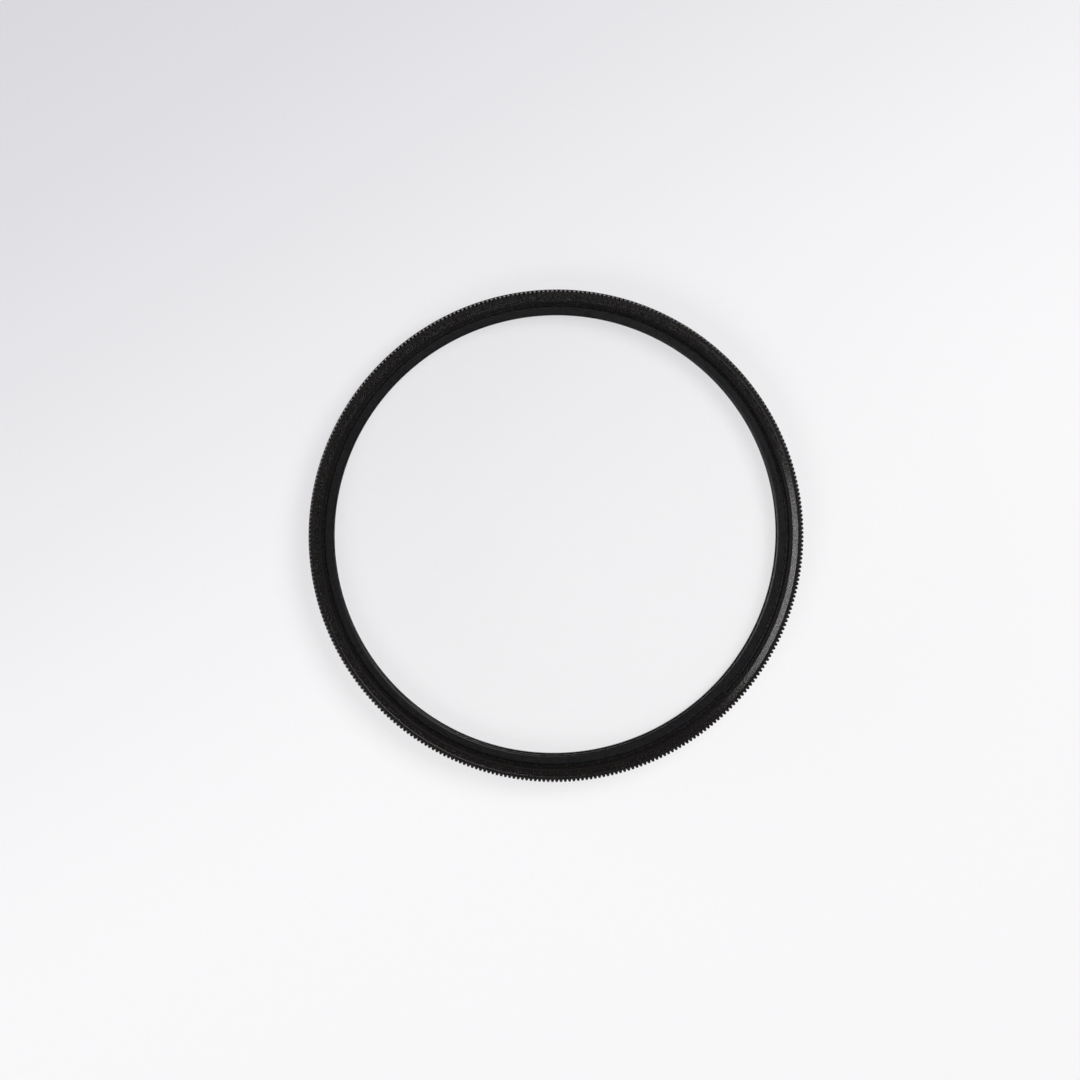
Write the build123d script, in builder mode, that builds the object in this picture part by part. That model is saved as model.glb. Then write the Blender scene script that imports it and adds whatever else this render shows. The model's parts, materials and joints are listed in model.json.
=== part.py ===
from build123d import *
from math import cos, pi, sin
import os

# A screw-in lens filter: a turned ring with a knurled rim, a clear glass disc on a seat inside it,
# and the thin ring that screws down on the glass. It lies on the end of its rear thread, front up.
# The origin is the centre of that end, and +Z is the optical axis, pointing out of the front.
# All sizes are in millimetres. The threads are plain cylinders here: crests outside, crests inside.

# Both threads are M67 x 0.75, the filter size of the lens
thread_diameter = 67.0
thread_depth = 0.4
rear_thread_length = 2.4
rear_lead = 0.35
relief_width = 0.5
relief_depth = 0.45
shoulder_step = 0.05

# Knurled rim, the plain flange behind it and the front edge
rim_wall = 1.5
flange_thickness = 0.5
front_land = 0.35
mouth_depth = 0.7
mouth_step = 0.1
knurl_pitch = 0.62
crest_step = 0.05
knurl_depth = 0.4
knurl_crest = 0.24

# Axial stack, from the rear end to the front
rear_recess = 1.3
lip_thickness = 0.4
glass_thickness = 1.1
holder_height = 0.45
front_recess = 1.75

# Radial steps, from the front thread inwards
holder_shelf = 0.35
holder_overhang = 0.5
seat_width = 0.9
holder_cover = 0.8
rear_wall = 1.2

# Play between the pieces
glass_clearance = 0.05
holder_clearance = 0.05

# Glass edges, and the holder's bevel and thread
glass_edge = 0.15
holder_bevel = 0.2
holder_thread_run = 0.3

# Radii worked out from the sizes above
thread_radius = thread_diameter / 2
rim_radius = thread_radius + rim_wall
crest_radius = rim_radius - crest_step
root_radius = crest_radius - knurl_depth
mouth_radius = root_radius - front_land
front_bore = thread_radius - thread_depth
holder_bore = front_bore - holder_shelf
holder_radius = holder_bore - holder_clearance
glass_bore = holder_bore - holder_overhang
glass_radius = glass_bore - glass_clearance
lip_radius = glass_radius - seat_width
holder_opening = glass_radius - holder_cover
rear_bore = thread_radius - rear_wall

# Heights worked out from the sizes above
shoulder_z = rear_thread_length
flange_z = shoulder_z + flange_thickness
seat_z = rear_recess + lip_thickness
glass_top_z = seat_z + glass_thickness
holder_top_z = glass_top_z + holder_height
front_z = holder_top_z + front_recess

# A whole number of teeth in each quarter of the rim
teeth_per_quarter = round(pi * rim_radius / 2 / knurl_pitch)
tooth_count = 4 * teeth_per_quarter


def rim_point(radius, tooth):
    """Point at a radius, at so many teeth round the rim from +X."""
    angle = 2 * pi * tooth / tooth_count
    return (radius * cos(angle), radius * sin(angle))


def knurl_outline():
    """Flat crests with a V-groove after each one, all the way round."""
    half_crest = knurl_crest / knurl_pitch / 2
    points = []
    for tooth in range(tooth_count):
        points.append(rim_point(crest_radius, tooth - half_crest))
        points.append(rim_point(crest_radius, tooth + half_crest))
        points.append(rim_point(root_radius, tooth + 0.5))
    return points


# Frame ring: one turned section, then the knurl cut into its rim from the front, down to the flange
with BuildPart() as frame_ring:
    with BuildSketch(Plane.XZ):
        with BuildLine():
            Polyline(
                (rear_bore, 0),
                (thread_radius - rear_lead, 0),
                (thread_radius, rear_lead),
                (thread_radius, shoulder_z - relief_width),
                (thread_radius - relief_depth, shoulder_z - relief_width),
                (thread_radius + shoulder_step, shoulder_z),
                (rim_radius, shoulder_z),
                (rim_radius, front_z),
                (mouth_radius, front_z),
                (thread_radius, front_z - mouth_depth),
                (thread_radius, front_z - mouth_depth - mouth_step),
                (front_bore, front_z - mouth_depth - mouth_step),
                (front_bore, holder_top_z),
                (holder_bore, holder_top_z),
                (holder_bore, glass_top_z - holder_thread_run),
                (glass_bore, glass_top_z - holder_thread_run),
                (glass_bore, seat_z),
                (lip_radius, seat_z),
                (lip_radius, rear_recess),
                (rear_bore, rear_recess),
                close=True,
            )
        make_face()
    revolve(axis=Axis.Z)
    with BuildSketch(Plane.XY.offset(flange_z)):
        Circle(rim_radius + knurl_depth)
        with BuildLine():
            Polyline(*knurl_outline(), close=True)
        make_face(mode=Mode.SUBTRACT)
    extrude(amount=front_z - flange_z, mode=Mode.SUBTRACT)

# Filter glass: a clear disc with ground edges, resting on the seat
with BuildPart() as filter_glass:
    with BuildSketch(Plane.XY.offset(seat_z)):
        Circle(glass_radius)
    extrude(amount=glass_thickness)
    chamfer(filter_glass.edges().filter_by(GeomType.CIRCLE), length=glass_edge)

# Retaining ring: screwed down on the glass, bevelled round its opening
with BuildPart() as retaining_ring:
    with BuildSketch(Plane.XY.offset(glass_top_z)):
        Circle(holder_radius)
        Circle(holder_opening, mode=Mode.SUBTRACT)
    extrude(amount=holder_height)
    top_edges = retaining_ring.faces().sort_by(Axis.Z)[-1].edges()
    chamfer(top_edges.sort_by(SortBy.RADIUS)[0], length=holder_bevel)

pieces = {
    "frame_ring": frame_ring,
    "filter_glass": filter_glass,
    "retaining_ring": retaining_ring,
}
os.makedirs("parts", exist_ok=True)
for name, piece in pieces.items():
    piece.part.label = name
    export_step(piece.part, f"parts/{name}.step")
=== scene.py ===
"""Screw-in lens filter: knurled ring, clear glass and retaining ring, dressed for a studio picture.

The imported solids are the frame. Each piece is a surface worked out with numpy in the same place as the solid
that it stands for, in metres: +Z is the optical axis out of the front, and the filter lies on its rear end.
"""

import json
from math import cos, pi, radians, sin

import bpy
import numpy as np
from bpy.props import FloatProperty, FloatVectorProperty, IntProperty, PointerProperty
from mathutils import Matrix, Vector


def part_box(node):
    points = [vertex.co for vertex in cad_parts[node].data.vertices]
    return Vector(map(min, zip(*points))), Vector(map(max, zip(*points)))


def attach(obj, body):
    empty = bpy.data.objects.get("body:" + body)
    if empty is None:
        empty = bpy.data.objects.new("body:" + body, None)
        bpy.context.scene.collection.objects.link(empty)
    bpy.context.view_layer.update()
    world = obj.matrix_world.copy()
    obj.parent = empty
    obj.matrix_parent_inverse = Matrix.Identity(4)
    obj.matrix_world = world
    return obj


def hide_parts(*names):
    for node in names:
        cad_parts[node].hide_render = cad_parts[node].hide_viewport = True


bl_info = {
    "name": "Screw-in lens filter",
    "version": (1, 0, 0),
    "blender": (4, 5, 0),
    "location": "3D View > Sidebar > Lens Filter",
    "description": "Knurled ring, coated glass and retaining ring of a lens filter, with a studio",
    "category": "Object",
}

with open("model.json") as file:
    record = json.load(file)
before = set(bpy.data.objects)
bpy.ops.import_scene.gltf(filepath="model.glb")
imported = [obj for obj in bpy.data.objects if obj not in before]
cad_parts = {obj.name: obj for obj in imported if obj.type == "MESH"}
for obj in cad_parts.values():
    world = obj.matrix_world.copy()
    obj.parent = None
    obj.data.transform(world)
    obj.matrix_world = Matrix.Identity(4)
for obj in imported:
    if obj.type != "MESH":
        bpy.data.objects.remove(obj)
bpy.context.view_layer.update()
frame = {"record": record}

MM = 0.001
RING_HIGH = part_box("frame_ring")[1]
GLASS_LOW, GLASS_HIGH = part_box("filter_glass")
HOLDER_LOW, HOLDER_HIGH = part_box("retaining_ring")
MOUNTS = {mount["name"]: mount for mount in frame["record"]["mounts"]}


def length(name, description, default):
    """A size in metres that a user may change."""
    return FloatProperty(name=name, description=description, default=default, unit="LENGTH", precision=6)


def angle(name, description, degrees):
    """An angle, given in degrees."""
    return FloatProperty(name=name, description=description, default=radians(degrees), subtype="ANGLE")


def share(name, description, default):
    """A number from 0 to 1."""
    return FloatProperty(name=name, description=description, default=default, min=0, max=1, subtype="FACTOR")


def power(name, description, default):
    """A lamp's power in watts."""
    return FloatProperty(name=name, description=description, default=default, min=0, unit="POWER")


def colour(name, description, default):
    """A colour in linear light."""
    return FloatVectorProperty(
        name=name, description=description, default=default, subtype="COLOR", min=0, max=1
    )


def refraction(name, description, default):
    """A refractive index."""
    return FloatProperty(name=name, description=description, default=default, min=1)


class FrameRingSettings(bpy.types.PropertyGroup):
    """Sizes of the turned ring"""

    rim_radius: length("Rim radius", "From the axis to the edge of the flange", RING_HIGH.x)
    front_height: length("Height", "From the rear end to the front land", RING_HIGH.z)
    shoulder_height: length(
        "Shoulder", "Height of the step that meets the lens", MOUNTS["rear_shoulder"]["pos_m"][2]
    )
    thread_radius: length(
        "Thread radius", "Crests of the rear thread", MOUNTS["rear_thread"]["dims"]["r_mm"] * MM
    )
    front_bore: length(
        "Front bore", "Crests of the front thread", MOUNTS["front_thread"]["dims"]["r_mm"] * MM
    )
    thread_pitch: length("Thread pitch", "Rise of either thread in one turn", 0.75 * MM)
    front_thread_depth: length("Front thread depth", "Depth of the front thread", 0.36 * MM)
    rear_thread_depth: length("Rear thread depth", "Depth of the rear thread", 0.40 * MM)
    relief_width: length("Relief width", "Height of the groove between rear thread and shoulder", 0.5 * MM)
    relief_depth: length("Relief depth", "Depth of that groove", 0.45 * MM)
    shoulder_step: length("Shoulder step", "From the thread's crests to the flat shoulder", 0.05 * MM)
    rear_lead: length("Rear lead", "Bevel at the start of the rear thread", 0.35 * MM)
    rear_wall: length("Rear wall", "Wall behind the seat, thread included", 1.2 * MM)
    tooth_count: IntProperty(name="Teeth", description="Teeth of the knurl", default=356, min=60)
    flange_thickness: length("Flange thickness", "Height of the plain flange behind the knurl", 0.5 * MM)
    crest_step: length("Crest step", "From the flange's edge in to the crests of the knurl", 0.05 * MM)
    knurl_depth: length("Knurl depth", "From a crest down to a root", 0.4 * MM)
    knurl_crest: length("Knurl crest", "Width of the flat on each tooth", 0.24 * MM)
    front_land: length("Front land", "Flat between the knurl and the mouth", 0.35 * MM)
    mouth_depth: length("Mouth depth", "Height of the cone that leads into the front thread", 0.7 * MM)
    mouth_step: length("Mouth step", "Height of the plain wall between that cone and the thread", 0.1 * MM)
    holder_shelf: length("Holder shelf", "Step from the front thread to the retaining ring's bore", 0.35 * MM)
    holder_run: length("Holder run", "How far that bore goes below the front of the glass", 0.3 * MM)
    holder_overhang: length("Holder overhang", "Step from that bore to the glass bore", 0.5 * MM)
    glass_clearance: length("Glass clearance", "Play round the glass", 0.05 * MM)
    seat_width: length("Seat width", "Width of the lip under the glass", 0.9 * MM)
    lip_thickness: length("Lip thickness", "Thickness of that lip", 0.4 * MM)
    edge_break: length("Edge break", "Small bevel on every turned edge", 0.025 * MM)


class GlassSettings(bpy.types.PropertyGroup):
    """Sizes and finish of the glass"""

    radius: length("Radius", "Radius of the disc", GLASS_HIGH.x)
    low: length("Rear face", "Height of the rear face", GLASS_LOW.z)
    high: length("Front face", "Height of the front face", GLASS_HIGH.z)
    edge: length("Ground edge", "Bevel round both faces", 0.15 * MM)
    ior: refraction("IOR", "Refractive index of the glass", 1.52)
    coating: share("Coating", "Reflection that the coating leaves, 0.5 for bare glass", 0.06)
    tint: colour("Tint", "Colour of that reflection", (0.78, 0.85, 0.84))
    edge_black: colour("Edge black", "Blackened edge of the disc", (0.012, 0.012, 0.012))
    edge_grey: colour("Edge grey", "That edge where the wheel's grain shows", (0.05, 0.05, 0.048))


class HolderSettings(bpy.types.PropertyGroup):
    """Sizes of the retaining ring"""

    radius: length("Radius", "Outside of the ring", HOLDER_HIGH.x)
    low: length("Underside", "Height of the face on the glass", HOLDER_LOW.z)
    high: length("Top", "Height of the face that shows", HOLDER_HIGH.z)
    opening: length("Opening", "Radius of the clear opening", 31.4 * MM)
    bevel: length("Bevel", "Bevel round the opening", 0.2 * MM)
    edge_break: length("Edge break", "Small bevel on the turned edges", 0.06 * MM)
    sharp_angle: angle("Sharp angle", "Least angle between faces that shows as an edge", 12)


class FinishSettings(bpy.types.PropertyGroup):
    """Black anodised aluminium"""

    black: colour("Black", "Dyed oxide of the ring", (0.0074, 0.0063, 0.0059))
    holder_black: colour("Holder black", "Dyed oxide of the retaining ring", (0.0060, 0.0062, 0.0071))
    # Paler colour of the knurl's crests: partly real wear, partly a painted highlight
    worn: colour("Worn", "Oxide rubbed thin on the crests of the knurl", (0.034, 0.028, 0.024))
    roughness: share("Roughness", "Satin of the blasted surface", 0.27)
    ior: refraction("IOR", "Refractive index of the dyed oxide", 1.42)
    holder_roughness: share("Holder roughness", "Satin of the retaining ring", 0.36)
    holder_ior: refraction("Holder IOR", "Refractive index of its oxide", 1.31)
    thread_roughness: share("Thread roughness", "Matt black inside the front thread", 0.58)
    thread_ior: refraction("Thread IOR", "Refractive index of that matt black", 1.22)
    grain: length("Grain", "Size of the blasted grain", 0.09 * MM)
    mottle: length("Mottle", "Size of the uneven patches in the dye", 0.28 * MM)
    # Size of the patches in which the crests are painted paler: real wear and a painted highlight
    wear_sheen_patch: length("Worn patch", "Size of the patches that are rubbed", 1.68 * MM)
    turning: length("Turning", "Width of the tool's fine rings", 0.05 * MM)
    relief: length("Relief", "Height of the grain and the rings", 0.013 * MM)


class StudioSettings(bpy.types.PropertyGroup):
    """Camera, floor and light"""

    distance: length("Distance", "From the camera to the filter", 600 * MM)
    lens: FloatProperty(name="Lens", description="Focal length in mm on a 36 mm sensor", default=141.76)
    side: angle("Side", "Camera's turn to the right of the axis", -2.90)
    rise: angle("Rise", "Camera's turn towards +Y", 7.65)
    aim_side: length("Aim side", "How far the front's middle is right of the picture's centre", 2.382 * MM)
    aim_rise: length("Aim rise", "How far the front's middle is above the picture's centre", 0.207 * MM)
    floor: colour("Floor", "Pale seamless paper", (0.975, 0.972, 0.985))
    floor_shade: colour("Floor shade", "The paper where it lies in the shade", (0.70, 0.695, 0.735))
    shade_turn: angle("Shade turn", "Direction from the filter to that shade, from +X", 120)
    shade_start: length("Shade start", "Where the paper starts to darken in that direction", -25 * MM)
    shade_end: length("Shade end", "Where the paper is darkest", 125 * MM)
    floor_glow: share("Floor glow", "Share of the paper's brightness that comes from behind it", 0.70)
    floor_reach: length("Floor reach", "Half the side of the floor", 4.0)
    lamp_distance: length("Lamp distance", "From the key and the fill to the filter", 0.9)
    lamp_size: length("Lamp size", "Side of the key and of the fill", 0.5)
    key_turn: angle("Key turn", "Direction of the key, from +X", 42)
    key_rise: angle("Key rise", "Height of the key above the floor", 56)
    key_power: power("Key", "Large soft lamp at the upper right", 5.6)
    fill_turn: angle("Fill turn", "Direction of the fill, from +X", 225)
    fill_rise: angle("Fill rise", "Height of the fill above the floor", 50)
    fill_power: power("Fill", "Large soft lamp at the lower left", 2.6)
    panel_distance: length("Panel distance", "From the panel to the filter", 0.5)
    panel_width: length("Panel width", "Width of the panel", 0.48)
    panel_height: length("Panel height", "Height of the panel", 0.1)
    panel_turn: angle("Panel turn", "Direction of the panel, from +X", 174)
    panel_rise: angle("Panel rise", "Height of the panel above the floor", 7)
    panel_power: power("Panel", "Low panel that the mouth's right side mirrors", 1.35)
    room: share("Room", "Brightness of the room all round", 0.10)
    room_tone: colour("Room tone", "Colour of its light", (0.985, 0.99, 1.0))


class LensFilterSettings(bpy.types.PropertyGroup):
    """All settings of the lens filter"""

    ring: PointerProperty(type=FrameRingSettings)
    glass: PointerProperty(type=GlassSettings)
    holder: PointerProperty(type=HolderSettings)
    finish: PointerProperty(type=FinishSettings)
    studio: PointerProperty(type=StudioSettings)


class Wire:
    """A socket of a node tree. Arithmetic on it adds Math nodes, and node() adds any other node."""

    def __init__(self, tree, socket=None):
        self.tree = tree
        self.socket = socket

    def node(self, kind, settings, sockets, output=0):
        """Adds a node of this kind, sets it, fills or joins its sockets, and gives one of its outputs."""
        made = self.tree.nodes.new(kind)
        for name, value in settings.items():
            setattr(made, name, value)
        for name, value in sockets.items():
            if isinstance(value, Wire):
                self.tree.links.new(value.socket, made.inputs[name])
            else:
                made.inputs[name].default_value = value
        return Wire(self.tree, made.outputs[output] if made.outputs else None)

    def beside(self, output):
        """Another output of the same node."""
        return Wire(self.tree, self.socket.node.outputs[output])

    def math(self, operation, *values):
        """A Math node on these values."""
        return self.node("ShaderNodeMath", {"operation": operation}, dict(enumerate(values)))

    def __add__(self, other):
        return self.math("ADD", self, other)

    __radd__ = __add__

    def __sub__(self, other):
        return self.math("SUBTRACT", self, other)

    def __rsub__(self, other):
        return self.math("SUBTRACT", other, self)

    def __mul__(self, other):
        return self.math("MULTIPLY", self, other)

    __rmul__ = __mul__

    def __pow__(self, other):
        return self.math("POWER", self, other)


def bare_tree(owner):
    """The owner's node tree with nothing in it."""
    owner.use_nodes = True
    owner.node_tree.nodes.clear()
    return Wire(owner.node_tree)


def opaque(rgb):
    """A colour with full alpha."""
    return (*rgb, 1.0)


def noise(tree, where, size, detail, dimensions="3D"):
    """Noise with features of about this size in metres, from 0 to 1 about 0.5."""
    return tree.node(
        "ShaderNodeTexNoise",
        {"noise_dimensions": dimensions},
        {"Vector": where, "Scale": 1 / size, "Detail": detail, "Roughness": 0.55},
    )


# Shares of the blasted grain and of the mottle in the bump and in the roughness
GRAIN_BUMP = 0.4
MOTTLE_BUMP = 2.0
GRAIN_ROUGHNESS = 0.16
MOTTLE_ROUGHNESS = 0.38

# How far the dye varies about its own colour, and where the crests' wear and painted highlight start and how
# fast they grow
DYE_SPREAD = 0.7
WEAR_SHEEN_START = 0.25
WEAR_SHEEN_GAIN = 2.4


def anodised(name, finish, dye, grain_share, turning_share, roughness, ior, wear_and_sheen):
    """Black anodised aluminium of one dye, roughness and refractive index.

    Base colour: the dye, uneven in soft patches, and paler by a given share where a point attribute marks the
    knurl's crests, in random patches: partly real wear and partly a painted highlight. Roughness: the satin,
    with the grain and the patches added. Normal: a bump of grain and patches by their share, plus the tool's
    rings by theirs. The rings are noise of the radius and the height, so that they run round the axis on
    every face.
    """
    material = bpy.data.materials.new(name)
    tree = bare_tree(material)
    place = tree.node("ShaderNodeTexCoord", {}, {}, "Object")
    across = tree.node("ShaderNodeSeparateXYZ", {}, {"Vector": place})
    along = across.beside("Y")
    radius = (across * across + along * along) ** 0.5
    turned = tree.node("ShaderNodeCombineXYZ", {}, {"X": radius, "Y": across.beside("Z")})
    grain = noise(tree, place, finish.grain, 2.0)
    mottle = noise(tree, place, finish.mottle, 1.0)
    rings = noise(tree, turned, finish.turning, 2.0, "2D")

    black = tree.node(
        "ShaderNodeMix",
        {"data_type": "RGBA", "blend_type": "MULTIPLY"},
        {0: 1.0, 6: opaque(dye), 7: mottle * DYE_SPREAD + (1 - DYE_SPREAD / 2)},
        2,
    )
    # Crests painted paler in random patches: partly wear, partly a painted highlight
    rubbed_and_sheen = tree.node("ShaderNodeAttribute", {"attribute_name": "worn"}, {}, "Fac")
    wear_sheen_patches = (noise(tree, place, finish.wear_sheen_patch, 2.0) - WEAR_SHEEN_START) * WEAR_SHEEN_GAIN
    wear_sheen_share = tree.node("ShaderNodeClamp", {}, {"Value": rubbed_and_sheen**3 * wear_sheen_patches, "Min": 0.0, "Max": 1.0})
    base = tree.node(
        "ShaderNodeMix",
        {"data_type": "RGBA"},
        {0: wear_sheen_share * wear_and_sheen, 6: black, 7: opaque(finish.worn)},
        2,
    )
    blasted = grain * (GRAIN_BUMP * grain_share) + mottle * (MOTTLE_BUMP * grain_share)
    bump = tree.node(
        "ShaderNodeBump",
        {},
        {"Strength": 1.0, "Distance": finish.relief, "Height": blasted + rings * turning_share},
    )
    satin = (grain - 0.5) * GRAIN_ROUGHNESS + (mottle - 0.5) * MOTTLE_ROUGHNESS + roughness
    shader = tree.node(
        "ShaderNodeBsdfPrincipled",
        {},
        {"Base Color": base, "Roughness": satin, "IOR": ior, "Normal": bump},
    )
    tree.node("ShaderNodeOutputMaterial", {}, {"Surface": shader})
    return material


def coated_glass(settings):
    """Clear glass whose coating leaves a faint tinted reflection. Lamps shine straight through it."""
    material = bpy.data.materials.new("coated_glass")
    tree = bare_tree(material)
    glass = tree.node(
        "ShaderNodeBsdfPrincipled",
        {},
        {
            "Base Color": (1.0, 1.0, 1.0, 1.0),
            "Roughness": 0.0,
            "IOR": settings.ior,
            "Transmission Weight": 1.0,
            "Specular IOR Level": settings.coating,
            "Specular Tint": opaque(settings.tint),
        },
    )
    clear = tree.node("ShaderNodeBsdfTransparent", {}, {})
    diffuse = tree.node("ShaderNodeLightPath", {}, {}, "Is Diffuse Ray")
    soft = tree.node("ShaderNodeMixShader", {}, {0: diffuse, 1: glass, 2: clear})
    both = tree.node("ShaderNodeMixShader", {}, {0: diffuse.beside("Is Shadow Ray"), 1: soft, 2: clear})
    tree.node("ShaderNodeOutputMaterial", {}, {"Surface": both})
    return material


def ground_glass(settings):
    """The disc's ground and blackened edge: matt, with the grain of the wheel in its colour and roughness."""
    material = bpy.data.materials.new("ground_edge")
    tree = bare_tree(material)
    place = tree.node("ShaderNodeTexCoord", {}, {}, "Object")
    grain = noise(tree, place, 0.5 * settings.edge, 3.0)
    tone = tree.node(
        "ShaderNodeMix",
        {"data_type": "RGBA"},
        {0: grain, 6: opaque(settings.edge_black), 7: opaque(settings.edge_grey)},
        2,
    )
    shader = tree.node(
        "ShaderNodeBsdfPrincipled",
        {},
        {"Base Color": tone, "Roughness": grain * 0.3 + 0.6, "IOR": settings.ior},
    )
    tree.node("ShaderNodeOutputMaterial", {}, {"Surface": shader})
    return material


def eased(corners, edge_break):
    """An open section whose corners are bevelled.

    Each corner P between the unit directions u and v of its two sides becomes P - b u and P + b v, where b is
    the edge break. A corner that turns right, into the material, stays sharp as one point. The ends stay.
    """
    corners = np.array(corners)
    sides = np.diff(corners, axis=0)
    sides = sides / np.linalg.norm(sides, axis=1, keepdims=True)
    came, goes = sides[:-1], sides[1:]
    outward = came[:, 0] * goes[:, 1] - came[:, 1] * goes[:, 0] > 0
    cut = np.where(outward, edge_break, 0.0)[:, None]
    pairs = np.stack([corners[1:-1] - cut * came, corners[1:-1] + cut * goes], axis=1)
    kept = np.stack([np.ones_like(outward), outward], axis=1)
    return np.vstack([corners[:1], pairs[kept], corners[-1:]])


def groove(turns, crest, root):
    """Depth of a thread, 0 on its crest and 1 at its root, from turns, which grows by 1 for each pitch.

    The triangle wave of turns is cut off flat for the crest's and the root's share of the pitch, and eased.
    """
    wave = np.abs(2 * np.mod(turns, 1.0) - 1)
    depth = np.clip((1 - crest - wave) / (1 - crest - root), 0, 1)
    return depth * depth * (3 - 2 * depth)


def ring_points(radius, theta, height):
    """Points at a radius and an angle round the axis and a height, as one long array."""
    radius, theta, height = np.broadcast_arrays(radius, theta, height)
    return np.stack([radius * np.cos(theta), radius * np.sin(theta), height], axis=-1).reshape(-1, 3)


def grid_faces(rows, columns, first=0, closed=False):
    """Quads of a grid that is closed round the axis, and along its rows too if asked, facing outwards."""
    row = np.arange(rows if closed else rows - 1)[:, None]
    column = np.arange(columns)[None, :]
    low, high = row * columns, (row + 1) % rows * columns
    right = (column + 1) % columns
    corners = [low + column, low + right, high + right, high + column]
    return (np.stack(corners, axis=-1).reshape(-1, 4) + first).tolist()


def finish_mesh(name, points, faces, materials, flat=0):
    """A mesh object at the origin, its first faces, as many as flat says, shaded flat and the rest smooth."""
    mesh = bpy.data.meshes.new(name)
    mesh.from_pydata(points.tolist(), [], faces)
    for material in materials:
        mesh.materials.append(material)
    mesh.polygons.foreach_set("use_smooth", np.arange(len(faces)) >= flat)
    mesh.update()
    if mesh.validate():
        raise RuntimeError(f"{name} has faces that Blender had to mend")
    piece = bpy.data.objects.new(name, mesh)
    bpy.context.scene.collection.objects.link(piece)
    return piece


def sharpen(mesh, vertex_row, sharp_rows):
    """Marks as sharp each edge that runs along one of these rows."""
    ends = np.empty(2 * len(mesh.edges), np.int32)
    mesh.edges.foreach_get("vertices", ends)
    rows = vertex_row[ends.reshape(-1, 2)]
    along = rows[:, 0] == rows[:, 1]
    mesh.edges.foreach_set("use_edge_sharp", along & np.isin(rows[:, 0], sharp_rows))


def dress(piece, node):
    """The piece stands for its node, whose solid it hides, and rides on the one body."""
    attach(piece, "root")
    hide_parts(node)


# Rows to a pitch of a thread, and columns round the glass and the retaining ring
THREAD_ROWS = 10
COLUMNS = 256

# Rows of the eased edge and the plain wall above the front thread, which are matt black too
LEAD_ROWS = 3

# Flat share of a thread's pitch on the wide side and on the narrow side of its groove
WIDE_FLAT = 0.25
NARROW_FLAT = 0.125


def thread_rows(low, high, pitch):
    """Heights of the rows of a thread, so many to a pitch, both ends included."""
    return np.linspace(low, high, int(np.ceil((high - low) / pitch * THREAD_ROWS)) + 1)


def turned_section(ring, glass, holder):
    """The ring's section without its rim, from the front land inwards, down and out to the shoulder.

    Gives the rows' radii and heights, which rows the front and the rear thread cut, and which rows are sharp.
    """
    easing = ring.edge_break
    mouth = ring.rim_radius - ring.crest_step - ring.knurl_depth - ring.front_land
    cone_foot = ring.front_height - ring.mouth_depth
    bore = ring.front_bore - ring.holder_shelf
    glass_bore = bore - ring.holder_overhang
    lip = glass_bore - ring.glass_clearance - ring.seat_width
    rear_bore = ring.thread_radius - ring.rear_wall
    groove_top = ring.shoulder_height - ring.relief_width
    thread_top = cone_foot - ring.mouth_step

    mouth_rows = eased(
        [
            (mouth + 2 * easing, ring.front_height),
            (mouth, ring.front_height),
            (ring.thread_radius, cone_foot),
            (ring.thread_radius, thread_top),
            (ring.front_bore, thread_top),
        ],
        easing,
    )[1:-1]
    front_z = thread_rows(holder.high, thread_top, ring.thread_pitch)[::-1]
    front_r = np.full_like(front_z, ring.front_bore)
    inside_rows = eased(
        [
            (ring.front_bore, holder.high),
            (bore, holder.high),
            (bore, glass.high - ring.holder_run),
            (glass_bore, glass.high - ring.holder_run),
            (glass_bore, glass.low),
            (lip, glass.low),
            (lip, glass.low - ring.lip_thickness),
            (rear_bore, glass.low - ring.lip_thickness),
            (rear_bore, 0.0),
            (ring.thread_radius - ring.rear_lead, 0.0),
        ],
        easing,
    )[1:-1]
    rear_z = thread_rows(0.0, groove_top, ring.thread_pitch)
    rear_r = np.minimum(ring.thread_radius, ring.thread_radius - ring.rear_lead + rear_z)
    shoulder_rows = np.array(
        [
            (ring.thread_radius - ring.relief_depth, groove_top),
            (ring.thread_radius + ring.shoulder_step, ring.shoulder_height),
            (ring.thread_radius + 8 * ring.shoulder_step, ring.shoulder_height),
        ]
    )
    parts = [
        mouth_rows,
        np.stack([front_r, front_z], axis=1),
        inside_rows,
        np.stack([rear_r, rear_z], axis=1),
        shoulder_rows,
    ]
    kind = np.repeat(np.arange(len(parts)), [len(part) for part in parts])
    section = np.vstack(parts)
    end = np.flatnonzero(np.diff(kind))
    sharp = np.isin(kind, [0, 2, 4])
    sharp[end[np.isin(kind[end], [1, 3])]] = True
    sharp[end[kind[end] == 2] + 1] = True
    return section, kind == 1, kind == 3, np.flatnonzero(sharp)


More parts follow.
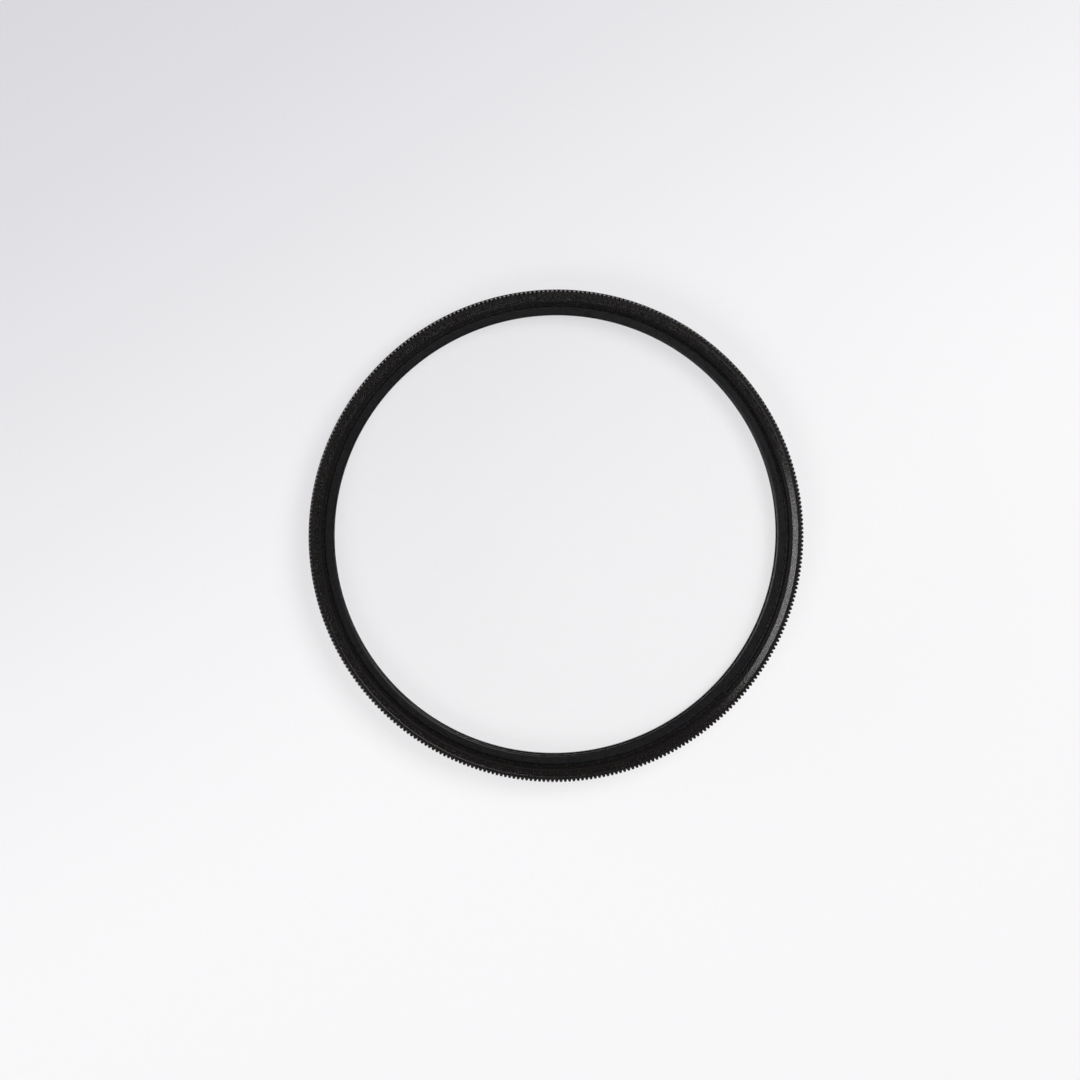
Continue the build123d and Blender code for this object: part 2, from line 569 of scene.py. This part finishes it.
def frame_ring_mesh(ring, glass, holder):
    """The knurled ring, one closed surface of two grids that are carried round the axis.

    The rim has three columns to a tooth: both ends of its crest and the root after it, which above the flange
    lies the knurl's depth nearer the axis. The rest has one column to a tooth, and its two threads are
    grooves in the radius that follow the height less the pitch's share of the turn. Six-sided faces on the
    front land and the shoulder join them. Gives the points, the flat and the smooth faces, each point's row,
    the sharp rows, the share of wear and painted highlight on each point, 1 on the crests, and which faces
    are matt, those of the front thread.
    """
    teeth = ring.tooth_count
    half_crest = ring.knurl_crest / (2 * pi * ring.rim_radius / teeth) / 2
    tooth = np.arange(teeth)[:, None]
    rim_theta = 2 * pi / teeth * (tooth + np.array([-half_crest, half_crest, 0.5])).reshape(-1)
    theta = 2 * pi / teeth * (np.arange(teeth) - half_crest)

    section, in_front, in_rear, sharp_rows = turned_section(ring, glass, holder)
    radius, height = section[:, :1], section[:, 1:]
    turns = height / ring.thread_pitch - theta / (2 * pi)
    front_cut = ring.front_bore + ring.front_thread_depth * groove(turns, WIDE_FLAT, NARROW_FLAT)
    rear_cut = ring.thread_radius - ring.rear_thread_depth * groove(turns, NARROW_FLAT, WIDE_FLAT)
    radius = np.where(in_front[:, None], np.maximum(radius, front_cut), radius)
    radius = np.where(in_rear[:, None], np.minimum(radius, rear_cut), radius)

    land = section[0, 0] + ring.front_land / 3
    ledge = section[-1, 0] + ring.front_land
    easing = ring.edge_break
    flange_easing = ring.crest_step / 2
    flange_top = ring.shoulder_height + ring.flange_thickness
    crest = ring.rim_radius - ring.crest_step
    rim = np.array(
        [
            (ledge, ring.shoulder_height, 0),
            (ring.rim_radius - flange_easing, ring.shoulder_height, 0),
            (ring.rim_radius, ring.shoulder_height + flange_easing, 0),
            (ring.rim_radius, flange_top - flange_easing, 0),
            (ring.rim_radius - flange_easing, flange_top, 0),
            (crest, flange_top, 1),
            (crest, ring.front_height - easing, 1),
            (crest - easing, ring.front_height, 1),
            (land, ring.front_height, 0),
        ]
    )
    root = np.tile([0.0, 0.0, 1.0], teeth)
    rim_radius = rim[:, :1] - rim[:, 2:] * ring.knurl_depth * root

    points = np.vstack([ring_points(rim_radius, rim_theta, rim[:, 1:2]), ring_points(radius, theta, height)])
    rim_total = rim_radius.size
    fine = 3 * np.arange(teeth)[:, None]
    steps = np.arange(4)
    coarse = np.stack([np.arange(teeth), (np.arange(teeth) + 1) % teeth], axis=1)
    front_edge = (fine + steps) % (3 * teeth) + rim_total - 3 * teeth
    rear_edge = (fine + steps) % (3 * teeth)
    front_seam = np.hstack([front_edge, coarse[:, ::-1] + rim_total])
    rear_seam = np.hstack([coarse + len(points) - teeth, rear_edge[:, ::-1]])
    flat = grid_faces(len(rim), 3 * teeth) + front_seam.tolist() + rear_seam.tolist()
    smooth = grid_faces(len(section), teeth, rim_total)
    thread_start = np.flatnonzero(in_front)[0] - LEAD_ROWS
    thread_end = np.flatnonzero(in_front)[-1]
    matt = np.zeros(len(flat) + len(smooth), np.int32)
    matt[len(flat) + thread_start * teeth : len(flat) + thread_end * teeth] = 1

    rows = np.concatenate([np.full(rim_total, -1), np.repeat(np.arange(len(section)), teeth)])
    # 1 on the crests: where the paler colour of wear and a painted highlight goes
    worn = np.zeros(len(points), np.float32)
    worn[:rim_total] = (rim[:, 2:] * (1 - root)).reshape(-1)
    return points, flat, smooth, rows, sharp_rows, worn, matt


def holder_mesh(holder):
    """The retaining ring: a closed section, bevelled round its opening, carried round the axis."""
    easing = holder.edge_break
    section = eased(
        [
            (holder.opening + holder.bevel, holder.low),
            (holder.radius, holder.low),
            (holder.radius, holder.high),
            (holder.opening + holder.bevel, holder.high),
            (holder.opening, holder.high - holder.bevel),
            (holder.opening, holder.low),
            (holder.opening + holder.bevel, holder.low),
        ],
        easing,
    )[:-1]
    theta = 2 * pi / COLUMNS * np.arange(COLUMNS)
    points = ring_points(section[:, :1], theta, section[:, 1:])
    return points, grid_faces(len(section), COLUMNS, closed=True)


def glass_mesh(glass):
    """The glass: a section of two flats and a bevelled edge turned about the axis, closed at both poles.

    Gives the points, the faces, each point's row, and which faces belong to the ground edge.
    """
    theta = 2 * pi / COLUMNS * np.arange(COLUMNS)
    rim = glass.radius - glass.edge
    section = np.array(
        [
            (rim / 2, glass.low),
            (rim, glass.low),
            (glass.radius, glass.low + glass.edge),
            (glass.radius, glass.high - glass.edge),
            (rim, glass.high),
            (rim / 2, glass.high),
        ]
    )
    points = ring_points(section[:, :1], theta, section[:, 1:])
    total = len(points)
    points = np.vstack([points, [(0, 0, glass.low), (0, 0, glass.high)]])
    around = np.arange(COLUMNS)
    after = (around + 1) % COLUMNS
    top = total - COLUMNS
    low_fan = np.stack([np.full(COLUMNS, total), after, around], axis=1)
    high_fan = np.stack([np.full(COLUMNS, total + 1), around + top, after + top], axis=1)
    faces = grid_faces(len(section), COLUMNS) + low_fan.tolist() + high_fan.tolist()
    rows = np.append(np.repeat(np.arange(len(section)), COLUMNS), [-1, -2])
    edge_faces = np.zeros(len(faces), np.int32)
    edge_faces[COLUMNS : 4 * COLUMNS] = 1
    return points, faces, rows, edge_faces


class LENSFILTER_OT_frame_ring(bpy.types.Operator):
    """Build the knurled ring with its two threads"""

    bl_idname = "lens_filter.frame_ring"
    bl_label = "Frame ring"

    def execute(self, context):
        settings = context.scene.lens_filter
        finish = settings.finish
        points, flat, smooth, rows, sharp_rows, worn, matt = frame_ring_mesh(
            settings.ring, settings.glass, settings.holder
        )
        satin = anodised(
            "satin_ring",
            finish,
            finish.black,
            grain_share=1.0,
            turning_share=0.15,
            roughness=finish.roughness,
            ior=finish.ior,
            # Crests paler by this share: real wear and a painted highlight
            wear_and_sheen=1.0,
        )
        inside = anodised(
            "matt_thread",
            finish,
            finish.black,
            grain_share=0.3,
            turning_share=0.1,
            roughness=finish.thread_roughness,
            ior=finish.thread_ior,
            wear_and_sheen=0.0,
        )
        piece = finish_mesh("knurled_ring", points, flat + smooth, [satin, inside], len(flat))
        piece.data.polygons.foreach_set("material_index", matt)
        sharpen(piece.data, rows, sharp_rows)
        # This attribute carries the crests' wear and painted highlight
        piece.data.attributes.new("worn", "FLOAT", "POINT").data.foreach_set("value", worn)
        dress(piece, "frame_ring")
        return {"FINISHED"}


class LENSFILTER_OT_filter_glass(bpy.types.Operator):
    """Build the coated glass disc"""

    bl_idname = "lens_filter.filter_glass"
    bl_label = "Filter glass"

    def execute(self, context):
        glass = context.scene.lens_filter.glass
        points, faces, rows, edge_faces = glass_mesh(glass)
        piece = finish_mesh("glass_disc", points, faces, [coated_glass(glass), ground_glass(glass)])
        sharpen(piece.data, rows, np.arange(rows.max() + 1))
        piece.data.polygons.foreach_set("material_index", edge_faces)
        dress(piece, "filter_glass")
        return {"FINISHED"}


class LENSFILTER_OT_retaining_ring(bpy.types.Operator):
    """Build the ring that holds the glass"""

    bl_idname = "lens_filter.retaining_ring"
    bl_label = "Retaining ring"

    def execute(self, context):
        settings = context.scene.lens_filter
        finish = settings.finish
        points, faces = holder_mesh(settings.holder)
        turned = anodised(
            "turned_holder",
            finish,
            finish.holder_black,
            grain_share=0.1,
            turning_share=0.2,
            roughness=finish.holder_roughness,
            ior=finish.holder_ior,
            wear_and_sheen=0.0,
        )
        piece = finish_mesh("holder_ring", points, faces, [turned])
        piece.data.set_sharp_from_angle(angle=settings.holder.sharp_angle)
        dress(piece, "retaining_ring")
        return {"FINISHED"}


def paper_floor(studio):
    """Matt pale paper, partly lit from behind, which softens the shadows on it.

    Its share of the shaded colour grows smoothly with the distance in the direction of the shade. It is seen
    from above only, so that the underside can be looked at.
    """
    material = bpy.data.materials.new("pale_paper")
    tree = bare_tree(material)
    seen = tree.node("ShaderNodeLightPath", {}, {}, "Is Camera Ray")
    mirrored = seen.beside("Is Glossy Ray")
    bent = seen.beside("Is Transmission Ray")
    looked_at = tree.math("MAXIMUM", seen, tree.math("MAXIMUM", mirrored, bent))
    glowing = looked_at * studio.floor_glow
    place = tree.node("ShaderNodeTexCoord", {}, {}, "Object")
    across = tree.node("ShaderNodeSeparateXYZ", {}, {"Vector": place})
    along = across.beside("Y")
    shaded = tree.node(
        "ShaderNodeMapRange",
        {"interpolation_type": "SMOOTHSTEP"},
        {
            "Value": across * cos(studio.shade_turn) + along * sin(studio.shade_turn),
            "From Min": studio.shade_start,
            "From Max": studio.shade_end,
        },
    )
    sheets = []
    for tone in (studio.floor, studio.floor_shade):
        paper = tree.node("ShaderNodeBsdfDiffuse", {}, {"Color": opaque(tone)})
        glow = tree.node("ShaderNodeEmission", {}, {"Color": opaque(tone), "Strength": 1.0})
        sheets.append(tree.node("ShaderNodeMixShader", {}, {0: glowing, 1: paper, 2: glow}))
    pale = tree.node("ShaderNodeMixShader", {}, {0: shaded, 1: sheets[0], 2: sheets[1]})
    clear = tree.node("ShaderNodeBsdfTransparent", {}, {})
    below = tree.node("ShaderNodeNewGeometry", {}, {}, "Backfacing")
    both = tree.node("ShaderNodeMixShader", {}, {0: below, 1: pale, 2: clear})
    tree.node("ShaderNodeOutputMaterial", {}, {"Surface": both})
    return material


def room(studio):
    """A dim room, the same all round."""
    world = bpy.data.worlds.new("room")
    tree = bare_tree(world)
    shader = tree.node(
        "ShaderNodeBackground", {}, {"Color": opaque(studio.room_tone), "Strength": studio.room}
    )
    tree.node("ShaderNodeOutputWorld", {}, {"Surface": shader})
    return world


def lamp(name, place, width, height, watts):
    """A soft lamp of this width and height that faces the filter and isn't seen itself."""
    data = bpy.data.lights.new(name, "AREA")
    data.shape = "RECTANGLE"
    data.size = width
    data.size_y = height
    data.energy = watts
    made = bpy.data.objects.new(name, data)
    made.location = place
    made.rotation_mode = "QUATERNION"
    made.rotation_quaternion = (-Vector(place)).to_track_quat("-Z", "Y")
    made.visible_camera = False
    bpy.context.scene.collection.objects.link(made)
    return made


def polar(distance, turn, rise):
    """A place at a distance, by its angle from +X and its angle above the floor."""
    return (distance * cos(rise) * cos(turn), distance * cos(rise) * sin(turn), distance * sin(rise))


SENSOR_MM = 36


class LENSFILTER_OT_studio(bpy.types.Operator):
    """Lay the floor and set the lamps and the camera"""

    bl_idname = "lens_filter.studio"
    bl_label = "Studio"

    def execute(self, context):
        scene = context.scene
        settings = scene.lens_filter
        studio = settings.studio
        reach = studio.floor_reach
        corner = np.array([(-reach, -reach, 0), (reach, -reach, 0), (reach, reach, 0), (-reach, reach, 0)])
        floor = finish_mesh("floor", corner, [[0, 1, 2, 3]], [paper_floor(studio)])
        scene.world = room(studio)
        size = studio.lamp_size
        key_place = polar(studio.lamp_distance, studio.key_turn, studio.key_rise)
        fill_place = polar(studio.lamp_distance, studio.fill_turn, studio.fill_rise)
        panel_place = polar(studio.panel_distance, studio.panel_turn, studio.panel_rise)
        lamp("key", key_place, size, size, studio.key_power)
        lamp("fill", fill_place, size, size, studio.fill_power)
        lamp("panel", panel_place, studio.panel_width, studio.panel_height, studio.panel_power)

        towards = Vector(
            (sin(studio.side) * cos(studio.rise), sin(studio.rise), cos(studio.side) * cos(studio.rise))
        )
        right = Vector((0, 1, 0)).cross(towards).normalized()
        up = towards.cross(right)
        front = Vector((0, 0, settings.ring.front_height))
        aim = front - studio.aim_side * right - studio.aim_rise * up
        data = bpy.data.cameras.new("camera")
        data.lens = studio.lens
        data.sensor_width = SENSOR_MM
        data.clip_start = 0.01
        data.clip_end = 20
        camera = bpy.data.objects.new("camera", data)
        turn = Matrix((right, up, towards)).transposed().to_4x4()
        camera.matrix_world = Matrix.Translation(aim + studio.distance * towards) @ turn
        scene.collection.objects.link(camera)
        scene.camera = camera
        scene.view_settings.view_transform = "Standard"
        return {"FINISHED"}


class LENSFILTER_PT_panel(bpy.types.Panel):
    """Pieces and settings of the lens filter"""

    bl_idname = "LENSFILTER_PT_panel"
    bl_label = "Lens Filter"
    bl_space_type = "VIEW_3D"
    bl_region_type = "UI"
    bl_category = "Lens Filter"

    def draw(self, context):
        settings = context.scene.lens_filter
        groups = {
            "lens_filter.frame_ring": (settings.ring, settings.finish),
            "lens_filter.filter_glass": (settings.glass,),
            "lens_filter.retaining_ring": (settings.holder,),
            "lens_filter.studio": (settings.studio,),
        }
        for operator, owners in groups.items():
            box = self.layout.box()
            box.operator(operator)
            for owner in owners:
                for name in owner.__annotations__:
                    box.prop(owner, name)


CLASSES = (
    FrameRingSettings,
    GlassSettings,
    HolderSettings,
    FinishSettings,
    StudioSettings,
    LensFilterSettings,
    LENSFILTER_OT_frame_ring,
    LENSFILTER_OT_filter_glass,
    LENSFILTER_OT_retaining_ring,
    LENSFILTER_OT_studio,
    LENSFILTER_PT_panel,
)


def register():
    """Registers the classes and hangs the settings on the scene."""
    for made in CLASSES:
        bpy.utils.register_class(made)
    bpy.types.Scene.lens_filter = PointerProperty(type=LensFilterSettings)


def unregister():
    """Takes the settings and the classes away."""
    del bpy.types.Scene.lens_filter
    for made in reversed(CLASSES):
        bpy.utils.unregister_class(made)


def main():
    """Builds the pieces and the studio."""
    register()
    bpy.ops.lens_filter.frame_ring()
    bpy.ops.lens_filter.filter_glass()
    bpy.ops.lens_filter.retaining_ring()
    bpy.ops.lens_filter.studio()
    bpy.context.view_layer.update()


if __name__ == "__main__":
    main()
